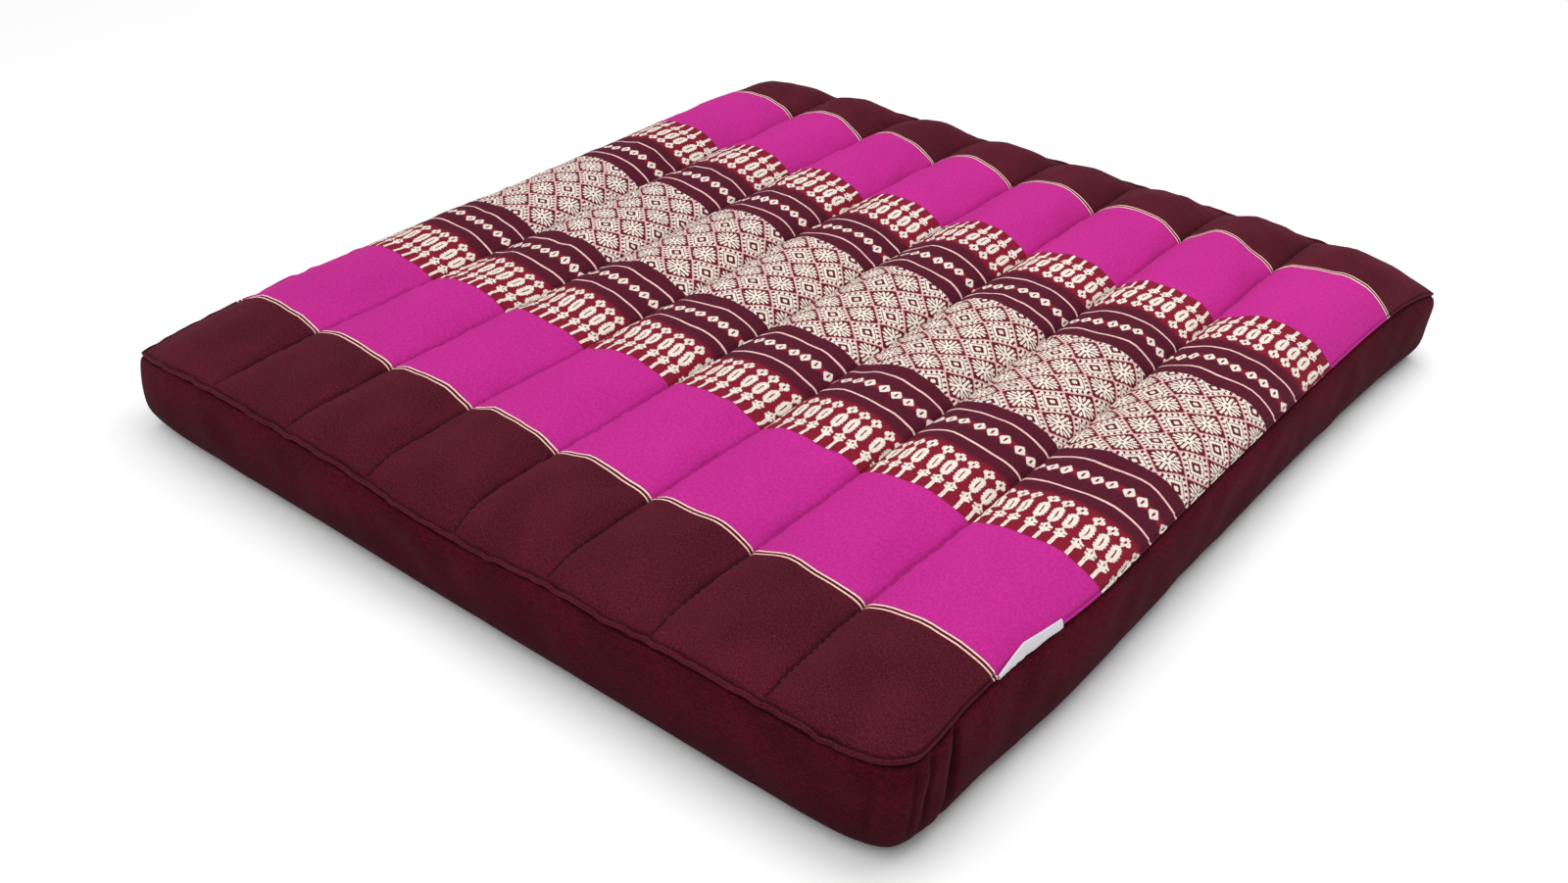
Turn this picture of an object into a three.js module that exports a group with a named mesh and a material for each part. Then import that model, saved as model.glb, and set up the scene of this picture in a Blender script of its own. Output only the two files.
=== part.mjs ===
// A quilted floor cushion for meditation: one filled cotton body with eight sewn channels,
// boxed sides that belly out under a top seam, and a blank label sewn into that seam.
// Millimetres, +Z up. X runs across the channels and Y along them. The front is -Y, and the
// origin is at the middle of the base.

import * as THREE from 'three';
import { mergeVertices } from 'three/addons/utils/BufferGeometryUtils.js';

// Plan of the top seam. The two end channels are wider where they roll over to it, and the
// seams along X = const are drawn in between their corners.
const CHANNELS = 8;
const CHANNEL_PITCH = 60;
const END_ROLL = 8;
const HALF_WIDTH = (CHANNELS * CHANNEL_PITCH) / 2 + END_ROLL;
const HALF_LENGTH = 272;
const SIDE_DRAW = 5;

// Heights: the seam over the base, the creases over the seam, the crests over the creases at
// mid-length, with what the back end gains and the front end loses, and the grooves of the base
const SEAM_HEIGHT = 54;
const CREASE_RISE = 3;
const PUFF_MIDDLE = 10;
const PUFF_TO_BACK = 4;
const BASE_GROOVE = 4;

// Powers that shape the surface: the higher, the fuller a channel's arch and the closer to the
// edge a roll begins. The ridge of the side seams is a share of that of the end seams.
const PUFF_FULLNESS = 2.4;
const CREST_ROLL = 14;
const CREASE_ROLL = 6;
const EDGE_TURN = 10;
const FLAT_SIDE_RIDGE = 0.35;

// The corners: how far each pokes out along X as an ear, how much of its tip is rounded off at
// the seam and at the base, how far the seam droops there, and how close to the tip that begins
const CORNERS = [
  { name: 'left', x: -1, y: -1, ear: 6, seamRounding: 6, baseRounding: 7, droop: 10, reach: 4 },
  { name: 'near', x: 1, y: -1, ear: 1, seamRounding: 7, baseRounding: 11, droop: -3, reach: 9 },
  { name: 'right', x: 1, y: 1, ear: 8, seamRounding: 5, baseRounding: 6, droop: 9, reach: 9 },
  { name: 'far', x: -1, y: 1, ear: 9, seamRounding: 7, baseRounding: 8, droop: 9, reach: 6 },
];
const EAR_SHARPNESS = 9;
const ROUNDING_SHARPNESS = 14;

// The boxing from the edge of the top panel down to the edge of the base:
// how far each line lies outside the seam, its height over the base, how much the seam's ridge
// raises it, and how far it is drawn in where a crease meets the seam
const WALL_LINES = [
  { name: 'panel_edge', out: -3, height: SEAM_HEIGHT, ridge: 0, tuck: 2 },
  { name: 'ridge_crown', out: 0, height: SEAM_HEIGHT, ridge: 2, tuck: 1.6 },
  { name: 'ridge_side', out: 1.4, height: SEAM_HEIGHT - 2, ridge: 0.6, tuck: 1.6 },
  { name: 'under_ridge', out: -1, height: SEAM_HEIGHT - 4.5, ridge: 0, tuck: 1.2 },
  { name: 'shoulder', out: 2.2, height: 42, ridge: 0, tuck: 0.3 },
  { name: 'belly', out: 3.8, height: 28, ridge: 0, tuck: 0 },
  { name: 'lower_belly', out: 2, height: 13, ridge: 0, tuck: 0 },
  { name: 'turn_under', out: -3.2, height: 3.6, ridge: 0, tuck: 0 },
  { name: 'base_edge', out: -12, height: 0, ridge: 0, tuck: 0 },
];
const PANEL_EDGE = WALL_LINES[0];
const BASE_EDGE = WALL_LINES[WALL_LINES.length - 1];

// Where the surface is sampled: across one channel, -1 and 1 being its creases, and along it
const CHANNEL_STATIONS = [-1, -0.8, -0.44, 0, 0.44, 0.8];
const LENGTH_STEPS = 24;
const LENGTH_CROWDING = 0.7;

// The label, a folded tab that stands in the seam of the +X side and leans on the top panel.
// Root and tip are places across the last channel, and the slants are shares of the length.
const LABEL_CHANNEL = CHANNELS - 1;
const LABEL_FRONT = -202;
const LABEL_LENGTH = 46;
const LABEL_ROOT = 0.96;
const LABEL_TIP = 0.82;
const LABEL_NEAR_SLANT = 0.34;
const LABEL_FAR_SLANT = 0.1;
const LABEL_CLEARANCE = 0.45;
const LABEL_THICKNESS = 1;
const LABEL_STEPS_ALONG = 8;
const LABEL_STEPS_UP = 3;

const burgundyCotton = new THREE.MeshStandardMaterial({ color: 0x4e1c2b, roughness: 0.9, metalness: 0 });
const whiteTape = new THREE.MeshStandardMaterial({ color: 0xe4e0e4, roughness: 0.75, metalness: 0 });

function signedPower(value, power) {
  return Math.sign(value) * Math.abs(value) ** power;
}

// One line of points along Y: u is its place across the plan, c its place within its channel
function columnAt(channel, c) {
  const first = channel === 0;
  const last = channel === CHANNELS - 1;
  const left = first ? -HALF_WIDTH : (channel - CHANNELS / 2) * CHANNEL_PITCH;
  const right = last ? HALF_WIDTH : (channel + 1 - CHANNELS / 2) * CHANNEL_PITCH;
  const x = left + ((right - left) * (c + 1)) / 2;
  return { u: x / HALF_WIDTH, c };
}

function channelColumns() {
  const columns = [];
  for (let channel = 0; channel < CHANNELS; channel += 1) {
    for (const c of CHANNEL_STATIONS) columns.push(columnAt(channel, c));
  }
  columns.push(columnAt(CHANNELS - 1, 1));
  return columns;
}

// Rows along the length, closer together where the panel rolls over to its end seams
function lengthRows() {
  const rows = [];
  for (let step = 0; step <= LENGTH_STEPS; step += 1) {
    const even = (2 * step) / LENGTH_STEPS - 1;
    const crowded = Math.sin((even * Math.PI) / 2);
    rows.push(even + (crowded - even) * LENGTH_CROWDING);
  }
  rows[0] = -1;
  rows[LENGTH_STEPS] = 1;
  return rows;
}

function cornerOf(u, v) {
  return CORNERS.find((corner) => corner.x * u >= 0 && corner.y * v >= 0);
}

// The plan at some share of the seam's height, filled in: sides drawn in between the corners,
// and each corner's own shape. Its z is how far the corner lowers the point.
function planPoint(u, v, share) {
  const corner = cornerOf(u, v);
  const near = Math.abs(u * v);
  const ear = corner.ear * near ** EAR_SHARPNESS;
  const cut = corner.baseRounding + (corner.seamRounding - corner.baseRounding) * share;
  const rounding = cut * near ** ROUNDING_SHARPNESS;
  const draw = SIDE_DRAW * v * v;
  const x = u * (HALF_WIDTH + draw) + corner.x * (ear - rounding);
  const y = v * HALF_LENGTH - corner.y * rounding;
  return new THREE.Vector3(x, y, -corner.droop * share * near ** corner.reach);
}

// Which way is out from the plan: a full step on the outline, and nearly none inside it
function outward(u, v) {
  const out = new THREE.Vector3(signedPower(u, EDGE_TURN), signedPower(v, EDGE_TURN), 0);
  return out.divideScalar(Math.max(1, out.length()));
}

function wallPoint(column, v, line) {
  const out = outward(column.u, v);
  const share = line.height / SEAM_HEIGHT;
  const point = planPoint(column.u, v, share);
  const creaseEnd = Math.abs(column.c) ** PUFF_FULLNESS * (1 - column.u ** EDGE_TURN);
  const raised = line.ridge * (FLAT_SIDE_RIDGE + (1 - FLAT_SIDE_RIDGE) * Math.abs(out.y));
  point.z += line.height + raised;
  point.y -= line.tuck * creaseEnd * signedPower(v, CREST_ROLL);
  point.z -= line.tuck * creaseEnd * Math.abs(v) ** CREST_ROLL;
  return point.addScaledVector(out, line.out);
}

// The crowned top: channels that puff up between creases and roll over to the seam all round
function topPoint(column, v) {
  const point = wallPoint(column, v, PANEL_EDGE);
  const inner = 1 - Math.abs(column.u) ** CREST_ROLL;
  const rise = CREASE_RISE * inner * (1 - Math.abs(v) ** CREASE_ROLL);
  const puff = (PUFF_MIDDLE + PUFF_TO_BACK * v) * (1 - Math.abs(v) ** CREST_ROLL);
  point.z += rise + puff * (1 - Math.abs(column.c) ** PUFF_FULLNESS);
  return point;
}

// The base: flat strips to rest on, with a shallow groove along each crease
function basePoint(column, v) {
  const point = wallPoint(column, v, BASE_EDGE);
  const onCrease = Math.abs(column.c) === 1;
  const inside = Math.abs(column.u) < 1;
  if (onCrease && inside) point.z += BASE_GROOVE * (1 - Math.abs(v) ** CREST_ROLL);
  return point;
}

// Joins a grid of points into triangles, turned over when flipped
function addSheet(triangles, grid, flipped) {
  for (let i = 0; i + 1 < grid.length; i += 1) {
    for (let j = 0; j + 1 < grid[i].length; j += 1) {
      const [a, b, c, d] = [grid[i][j], grid[i + 1][j], grid[i + 1][j + 1], grid[i][j + 1]];
      const corners = flipped ? [a, c, b, a, d, c] : [a, b, c, a, c, d];
      for (const corner of corners) triangles.push(corner.x, corner.y, corner.z);
    }
  }
}

function closedGeometry(triangles) {
  const loose = new THREE.BufferGeometry();
  loose.setAttribute('position', new THREE.Float32BufferAttribute(triangles, 3));
  const closed = mergeVertices(loose);
  closed.computeVertexNormals();
  return closed;
}

// Once round the outline, anticlockwise seen from above, ending where it began
function outlineStations(columns, rows) {
  const lastColumn = columns[columns.length - 1];
  const lastRow = rows[rows.length - 1];
  const front = columns.slice(0, -1).map((column) => ({ column, v: rows[0] }));
  const right = rows.slice(0, -1).map((v) => ({ column: lastColumn, v }));
  const back = columns.slice(1).reverse().map((column) => ({ column, v: lastRow }));
  const left = rows.slice(1).reverse().map((v) => ({ column: columns[0], v }));
  return [...front, ...right, ...back, ...left, { column: columns[0], v: rows[0] }];
}

function makeCushion() {
  const columns = channelColumns();
  const rows = lengthRows();
  const stations = outlineStations(columns, rows);
  const top = columns.map((column) => rows.map((v) => topPoint(column, v)));
  const base = columns.map((column) => rows.map((v) => basePoint(column, v)));
  const wall = stations.map(({ column, v }) => WALL_LINES.map((line) => wallPoint(column, v, line)));
  const triangles = [];
  addSheet(triangles, top, false);
  addSheet(triangles, base, true);
  addSheet(triangles, wall, true);
  const cushion = new THREE.Mesh(closedGeometry(triangles), burgundyCotton);
  cushion.name = 'cushion';
  return cushion;
}

// A point of the label: along the seam, up from its root, and off the top panel's surface
function labelPoint(along, up, offset) {
  const begin = LABEL_NEAR_SLANT * up;
  const end = 1 - LABEL_FAR_SLANT * (1 - up);
  const y = LABEL_FRONT + LABEL_LENGTH * (begin + (end - begin) * along);
  const v = y / HALF_LENGTH;
  const c = LABEL_ROOT + (LABEL_TIP - LABEL_ROOT) * up;
  const small = 0.01;
  const surface = topPoint(columnAt(LABEL_CHANNEL, c), v);
  const uphill = topPoint(columnAt(LABEL_CHANNEL, c - small), v).sub(surface);
  const backward = topPoint(columnAt(LABEL_CHANNEL, c), v + small).sub(surface);
  const normal = backward.cross(uphill).normalize();
  return surface.addScaledVector(normal, offset);
}

function makeLabel() {
  const layers = [LABEL_CLEARANCE, LABEL_CLEARANCE + LABEL_THICKNESS];
  const steps = (count) => Array.from({ length: count + 1 }, (_, step) => step / count);
  const alongSteps = steps(LABEL_STEPS_ALONG);
  const upSteps = steps(LABEL_STEPS_UP);
  const [inner, outer] = layers.map((offset) =>
    alongSteps.map((along) => upSteps.map((up) => labelPoint(along, up, offset))));
  const root = alongSteps.map((along) => layers.map((offset) => labelPoint(along, 0, offset)));
  const fold = alongSteps.map((along) => layers.map((offset) => labelPoint(along, 1, offset)));
  const nearEnd = upSteps.map((up) => layers.map((offset) => labelPoint(0, up, offset)));
  const farEnd = upSteps.map((up) => layers.map((offset) => labelPoint(1, up, offset)));
  const triangles = [];
  addSheet(triangles, inner, true);
  addSheet(triangles, outer, false);
  addSheet(triangles, root, false);
  addSheet(triangles, fold, true);
  addSheet(triangles, nearEnd, true);
  addSheet(triangles, farEnd, false);
  const label = new THREE.Mesh(closedGeometry(triangles), whiteTape);
  label.name = 'seam_label';
  return label;
}

const meditationCushion = new THREE.Group();
meditationCushion.add(makeCushion(), makeLabel());

export default meditationCushion;
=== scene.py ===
"""A quilted meditation cushion: one filled cotton body with eight sewn channels, a woven banded
top, plain burgundy boxing and base, stitched creases and a blank label in the side seam.

Metres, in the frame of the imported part: +Z up, X across the channels, Y along them.
"""

import math

import bpy
import numpy as np
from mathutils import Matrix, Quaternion, Vector


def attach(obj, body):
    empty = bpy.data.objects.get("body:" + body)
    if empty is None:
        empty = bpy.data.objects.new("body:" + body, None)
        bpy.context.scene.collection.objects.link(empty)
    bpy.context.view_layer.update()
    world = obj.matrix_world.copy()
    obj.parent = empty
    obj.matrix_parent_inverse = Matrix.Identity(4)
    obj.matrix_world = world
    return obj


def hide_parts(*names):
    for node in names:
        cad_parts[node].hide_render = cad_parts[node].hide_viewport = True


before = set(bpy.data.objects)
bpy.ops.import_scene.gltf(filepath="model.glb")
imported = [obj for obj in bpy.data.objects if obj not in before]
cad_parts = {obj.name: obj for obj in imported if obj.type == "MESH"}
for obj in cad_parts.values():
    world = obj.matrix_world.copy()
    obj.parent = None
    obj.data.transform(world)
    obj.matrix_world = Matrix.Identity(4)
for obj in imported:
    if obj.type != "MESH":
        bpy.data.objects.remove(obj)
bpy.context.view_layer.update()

MM = 0.001

# Plan of the top seam, as in the part's source
CHANNELS = 8
CHANNEL_PITCH = 60 * MM
END_ROLL = 8 * MM
HALF_WIDTH = CHANNELS * CHANNEL_PITCH / 2 + END_ROLL
HALF_LENGTH = 272 * MM
SIDE_DRAW = 5 * MM

# Heights: the seam over the base, the creases over the seam, and the crests over the creases in the
# middle of the length, with what the back has more and the front less
SEAM_HEIGHT = 54 * MM
CREASE_RISE = 3 * MM
PUFF_MIDDLE = 9.2 * MM
PUFF_TO_BACK = 4 * MM

# Powers that shape the surface: the higher, the fuller an arch and the tighter a roll, and the
# closer a change keeps to its edge or corner
PUFF_FULLNESS = 2.3
OUTER_FULLNESS = 3.1
CREST_ROLL = 14
CREASE_ROLL = 20
EDGE_TURN = 10
SIDE_TURN = 6
SAG_TURN = 26
LUMP_TURN = 6
CALM_EDGE = 24
CALM_CORNER = 16

# Corners: side along X and Y, how far the ear sticks out, rounding at the seam and at the base, how
# far the seam droops, or lifts if below zero, and how closely the droop keeps to the corner
CORNERS = {
    "left": (-1, -1, 4 * MM, 6 * MM, 4 * MM, 10 * MM, 4),
    "near": (1, -1, -3 * MM, 3 * MM, 9 * MM, -4.5 * MM, 9),
    "right": (1, 1, 8 * MM, 5 * MM, 6 * MM, 9 * MM, 9),
    "far": (-1, 1, 9 * MM, 7 * MM, 8 * MM, 9 * MM, 6),
}
EAR_SHARPNESS = 9
ROUNDING_SHARPNESS = 14

# The boxing from the edge of the top panel down to the edge of the base. Each line lies so far
# outside the seam and so high over the base: first at the ends and along the left, where a low cord
# runs between two grooves, then along the right, where the cord is a small lip on the slope. Last,
# its tuck at a crease.
WALL_LINES = {
    "panel_edge": (-2.2 * MM, 55.2 * MM, -1.8 * MM, 55.4 * MM, 0.9 * MM),
    "ridge_inside": (-0.7 * MM, 53.9 * MM, -1.3 * MM, 54 * MM, 0.6 * MM),
    "ridge_crown": (0.9 * MM, 54.6 * MM, -0.5 * MM, 53.4 * MM, 0.4 * MM),
    "ridge_outside": (1.6 * MM, 53.7 * MM, -0.4 * MM, 52.6 * MM, 0.4 * MM),
    "ridge_foot": (1.4 * MM, 52.4 * MM, -1.5 * MM, 51.9 * MM, 0.4 * MM),
    "under_ridge": (0.8 * MM, 51.5 * MM, -1.4 * MM, 51.2 * MM, 0.4 * MM),
    "boxing_edge": (2.1 * MM, 49.6 * MM, 0.9 * MM, 48.6 * MM, 0.3 * MM),
    "shoulder": (3.5 * MM, 43 * MM, 2.8 * MM, 42.5 * MM, 0.2 * MM),
    "belly": (3.8 * MM, 28 * MM, 3.8 * MM, 28 * MM, 0),
    "lower_belly": (2 * MM, 13 * MM, 2 * MM, 13 * MM, 0),
    "turn_under": (-3.2 * MM, 3.6 * MM, -3.2 * MM, 3.6 * MM, 0),
    "base_edge": (-12 * MM, 0, -12 * MM, 0, 0),
}
RIDGE_LINES = ("ridge_inside", "ridge_crown", "ridge_outside", "ridge_foot")
GROOVE_LINES = ("ridge_inside", "under_ridge")
PANEL_END = "ridge_foot"

# Waves of the cord up and outwards, and of the slack cloth under it: size, length along the edge
# and length in height
CORD_WAVES_UP = (0.45 * MM, 24 * MM, 1)
CORD_WAVES_OUT = (0.4 * MM, 22 * MM, 1)
SLACK_WAVES = (0.5 * MM, 60 * MM, 40 * MM)

# Shares of the drop from seam to base: where the folds and the slack set in, and where both end
FOLDS_SET_IN = (0.04, 0.12)
SLACK_SETS_IN = (0.05, 0.2)
CLOTH_TIGHTENS = (0.6, 0.9)

# Soft folds of the boxing by the near corner: the face it is on, how far from the corner it starts
# at the seam, how far it leans by the base, its depth, or bulge if below zero, and its width
FOLDS = (
    ("side", 40 * MM, -10 * MM, 3 * MM, 2.2 * MM),
    ("side", 30 * MM, -4 * MM, -1.2 * MM, 4 * MM),
    ("side", 19 * MM, -3 * MM, 2.6 * MM, 2 * MM),
    ("side", 6 * MM, 3 * MM, 2 * MM, 2 * MM),
    ("front", 6 * MM, 0, -1.2 * MM, 3.5 * MM),
    ("front", 17 * MM, -4 * MM, 1.6 * MM, 2.6 * MM),
)

# Where the cloth is sampled: shares of the way from a crease to the next crest, rows along the
# length, and steps between two lines of the boxing
CREASE_STATIONS = (0, 0.02, 0.05, 0.1, 0.18, 0.29, 0.42, 0.56, 0.7, 0.85)
LENGTH_ROWS = 272
WALL_STEPS = 3

# The sewn crease: a narrow pinch below the arches and the painted shade along it, the cloth from
# one crease to the next, how much of it is hidden in the crease, and the rows left unstitched at its
# ends
PINCH_DEPTH = 1.6 * MM
PINCH_WIDTH = 1.1 * MM
PINCH_SHAPE = 1.2
PAINTED_CREASE_SHADE_WIDTH = 0.6 * MM
CLOTH_PER_CHANNEL = 74.7 * MM
TAKEN_IN = 10 * MM
UNSTITCHED_ROWS = 6

# The filling's large and small lumps, the gathers beside a crease and the crease's own wander: size
# and lengths of the waves across and along. Then how far from the crease the last two reach.
LUMPS = (0.7 * MM, 70 * MM, 90 * MM)
SMALL_LUMPS = (0.35 * MM, 30 * MM, 35 * MM)
GATHERS = (0.38 * MM, 300 * MM, 11 * MM)
WANDER = (0.25 * MM, 300 * MM, 30 * MM)
GATHER_REACH = 7 * MM
WANDER_REACH = 8 * MM

# Steps in the waves from one channel and from one crease to the next, so that no two are alike
CHANNEL_STEP = 370 * MM
CREASE_STEP = 400 * MM

# The grooves of the base, and the share of the half width within which creases are marked
BASE_GROOVE = 4 * MM
BASE_GROOVE_WIDTH = 5 * MM
BASE_GROOVE_SHAPE = 1.5
CREASED_WIDTH = 0.99

# Painted shade in the grooves beside the cord, on their own ring of points, the next and the
# others, and the depth at which a fold takes the full painted shade
PAINTED_GROOVE_SHADES = (1, 0.6, 0)
FULL_FOLD_SHADE_DEPTH = 3 * MM

# The side towards the near corner is drawn in, at the seam and at the base: how far, the shares of
# the half length between which it sets in, and how much of it the corner gives back from where
SEAM_DRAWN = (7.5 * MM, 0.42, 0.74, 0.6, 0.8)
BASE_DRAWN = (5 * MM, 0.5, 0.82, 0.45, 0.88)

# The near corner of the seam is pulled back along the side
NEAR_PULL = 8 * MM
PULL_SHARPNESS = 30

# Dips of the front seam: where along X each one is, how deep it sags, and its half width. The one
# by the left corner is a lift.
FRONT_DIPS = (
    (-200 * MM, -2.5 * MM, 50 * MM),
    (-7 * MM, 7 * MM, 57 * MM),
    (100 * MM, 2.5 * MM, 30 * MM),
    (245 * MM, 2 * MM, 50 * MM),
)

# The woven bands: distances from the middle of the length, the same both ways
FIELD_EDGE = 44.7 * MM
INNER_LINE = 54.8 * MM
DIAMOND_ROW = 67 * MM
OUTER_LINE = 80 * MM
DARK_EDGE = 87.3 * MM
RED_EDGE = 90.5 * MM
STALK_EDGE = 124.8 * MM
MAGENTA_EDGE = 203 * MM
PINK_EDGE_LINE = MAGENTA_EDGE + 0.45 * MM
CREAM_EDGE_LINE = MAGENTA_EDGE + 2.75 * MM
EDGE_LINE_WIDTH = 0.9 * MM
THIN_LINE_WIDTH = 1.3 * MM
CLOTH_END = 280 * MM

# The near end of the cloth has slipped along the length, from none at one crease to the most at
# the right edge, and between two shares of the half length
SLIP_FROM_CREASE = 6
SLIP_SETS_IN = (0.45, 0.7)
CLOTH_SLIP = 3 * MM

# The loom: the width of a cell, the cells from the axis of one flower to the next, the pitch of the
# field's picks, and where the first flower is
CELL = 0.74 * MM
REPEAT_CELLS = 32
FIELD_PICK = 0.675 * MM
FIRST_FLOWER = 21.5 * MM


def signed_power(value, power):
    """A power that keeps the value's sign."""
    return np.sign(value) * np.abs(value) ** power


def ripple(x, y, length_x, length_y, seed, waves=14):
    """Smooth unevenness of unit size: waves of about the two lengths, crossing at random."""
    chance = np.random.default_rng(seed)
    total = np.zeros(np.broadcast(x, y).shape)
    for _ in range(waves):
        turn_x = chance.normal(0, 2 * math.pi / length_x)
        turn_y = chance.normal(0, 2 * math.pi / length_y)
        total += np.sin(x * turn_x + y * turn_y + chance.uniform(0, 2 * math.pi))
    return total * math.sqrt(2 / waves)


def uneven(x, y, plan, seed):
    """Ripples by a plan: their size and the two lengths of their waves."""
    size, length_x, length_y = plan
    return size * ripple(x, y, length_x, length_y, seed)


def eased(value, low, high):
    """0 below low, 1 above high, eased between."""
    share = np.clip((value - low) / (high - low), 0, 1)
    return share * share * (3 - 2 * share)


def channel_columns():
    """For each line of points along Y: its place across the plan, and within its channel."""
    half = np.array(CREASE_STATIONS)
    stations = np.unique(np.concatenate([half - 1, [0.0], 1 - half]))
    sides = (np.arange(CHANNELS + 1) - CHANNELS / 2) * CHANNEL_PITCH
    sides[0] = -HALF_WIDTH
    sides[-1] = HALF_WIDTH
    places, across = [], []
    for left, right in zip(sides, sides[1:]):
        for c in stations[:-1]:
            places.append((left + (right - left) * (c + 1) / 2) / HALF_WIDTH)
            across.append(c)
    places.append(1.0)
    across.append(1.0)
    return np.array(places), np.array(across), len(stations) - 1


def crease_gap(c):
    """How far a point lies from the nearer crease of its channel."""
    return (1 - np.abs(c)) * CHANNEL_PITCH / 2


def drawn_in(v, drawn):
    """How far the side is drawn in towards the near corner."""
    depth, begin, full, given_back, corner = drawn
    return depth * eased(-v, begin, full) * (1 - given_back * eased(-v, corner, 1))


def front_sag(u):
    """The sag of the front seam."""
    sag = np.zeros_like(u)
    for place, depth, width in FRONT_DIPS:
        sag = sag + depth * np.exp(-(((u * HALF_WIDTH - place) / width) ** 2))
    return sag


def plan_point(u, v, share):
    """The plan at some share of the seam's height, with each corner's own shape."""
    near = np.abs(u * v)
    x = u * (HALF_WIDTH + SIDE_DRAW * v * v * u**SIDE_TURN)
    y = v * HALF_LENGTH
    z = np.zeros_like(x)
    for side_x, side_y, ear, seam_round, base_round, droop, reach in CORNERS.values():
        here = (np.where(u >= 0, 1, -1) == side_x) & (np.where(v >= 0, 1, -1) == side_y)
        rounding = (base_round + (seam_round - base_round) * share) * near**ROUNDING_SHARPNESS
        x = x + here * side_x * (ear * near**EAR_SHARPNESS - rounding)
        y = y - here * side_y * rounding
        z = z - here * droop * share * near**reach
    at_base = drawn_in(v, BASE_DRAWN)
    at_seam = drawn_in(v, SEAM_DRAWN)
    x = x - (at_base + (at_seam - at_base) * share) * np.maximum(u, 0) ** SIDE_TURN
    y = y + NEAR_PULL * share**2 * near**PULL_SHARPNESS * ((u > 0) & (v < 0))
    z = z - front_sag(u) * share * np.maximum(-v, 0) ** SAG_TURN
    return np.stack([x, y, z], -1)


def outward(u, v):
    """Which way the boxing faces at the edge, fading to nothing over the middle of the plan."""
    out = np.stack([signed_power(u, EDGE_TURN), signed_power(v, EDGE_TURN), np.zeros_like(u)], -1)
    return out / np.maximum(1, np.linalg.norm(out, axis=-1, keepdims=True))


def folded_in(u, v, height):
    """How far the folds by the near corner reach into the boxing at some height."""
    out = outward(u, v)
    drop = 1 - height / SEAM_HEIGHT
    depths = np.zeros_like(u)
    for face, start, lean, depth, width in FOLDS:
        along = (v + 1) * HALF_LENGTH if face == "side" else (1 - u) * HALF_WIDTH
        on_face = np.maximum(out[..., 0], 0) if face == "side" else np.maximum(-out[..., 1], 0)
        depths = depths + depth * on_face * np.exp(-(((along - start - lean * drop) / width) ** 2))
    return depths * eased(drop, *FOLDS_SET_IN) * (1 - eased(drop, *CLOTH_TIGHTENS))


def wall_point(u, c, v, line):
    """Points of one line of the boxing, all round the plan."""
    end_out, end_height, side_out, side_height, tuck = WALL_LINES[line]
    out = outward(u, v)
    end = np.abs(out[..., 1])
    end = end + (1 - end) * np.maximum(-out[..., 0], 0)
    height = side_height + (end_height - side_height) * end
    point = plan_point(u, v, height / SEAM_HEIGHT)
    crease_end = np.abs(c) ** PUFF_FULLNESS * (1 - np.abs(u) ** EDGE_TURN)
    point[..., 2] += height - tuck * crease_end * np.abs(v) ** CREST_ROLL
    point[..., 1] -= tuck * crease_end * signed_power(v, CREST_ROLL)
    reach = side_out + (end_out - side_out) * end
    round_edge = u * HALF_WIDTH - v * HALF_LENGTH
    if line in RIDGE_LINES:
        puckered = end * (1 - np.abs(u * v) ** CALM_CORNER)
        point[..., 2] += uneven(round_edge, 0 * u, CORD_WAVES_UP, seed=21) * puckered
        reach = reach + uneven(round_edge, 0 * u, CORD_WAVES_OUT, seed=23) * puckered
    drop = 1 - height / SEAM_HEIGHT
    slack = eased(drop, *SLACK_SETS_IN) * (1 - eased(drop, *CLOTH_TIGHTENS))
    reach = reach + uneven(round_edge, height, SLACK_WAVES, seed=22) * slack
    return point + out * (reach - folded_in(u, v, height))[..., None]


def top_point(u, c, v):
    """The crowned top: channels that puff up between creases and roll over to the seam."""
    point = wall_point(u, c, v, "panel_edge")
    inner = 1 - np.abs(u) ** CREST_ROLL
    rise = CREASE_RISE * inner * (1 - np.abs(v) ** CREASE_ROLL)
    puff = (PUFF_MIDDLE + PUFF_TO_BACK * v) * (1 - np.abs(v) ** CREST_ROLL)
    outer_half = (np.abs(u) * HALF_WIDTH > HALF_WIDTH - END_ROLL - CHANNEL_PITCH) & (c * u > 0)
    fullness = np.where(outer_half, OUTER_FULLNESS, PUFF_FULLNESS)
    point[..., 2] += rise + puff * (1 - np.abs(c) ** fullness)
    return point


def quilted_top(u, c, v, channel):
    """The top with what sewing and filling do to it: pinched creases, gathers and soft lumps."""
    top = top_point(u, c, v)
    inside = (1 - np.abs(u) ** CALM_EDGE) * (1 - np.abs(v) ** CALM_EDGE)
    gap = crease_gap(c)
    at_crease = np.exp(-((gap / PINCH_WIDTH) ** PINCH_SHAPE)) * inside
    x, y = top[..., 0], top[..., 1]
    lumps = uneven(x, y, LUMPS, seed=11) + uneven(x, y, SMALL_LUMPS, seed=12)
    gathers = uneven(channel * CHANNEL_STEP, y, GATHERS, seed=13) * np.exp(-gap / GATHER_REACH)
    crease = np.round(x / CHANNEL_PITCH)
    beside = np.exp(-((gap / WANDER_REACH) ** 2)) * inside
    top[..., 0] += uneven(crease * CREASE_STEP, y, WANDER, seed=14) * beside
    top[..., 2] += lumps * inside * (1 - np.abs(c) ** LUMP_TURN)
    top[..., 2] += gathers * inside * (1 - at_crease)
    top[..., 2] -= PINCH_DEPTH * at_crease
    return top


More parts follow.
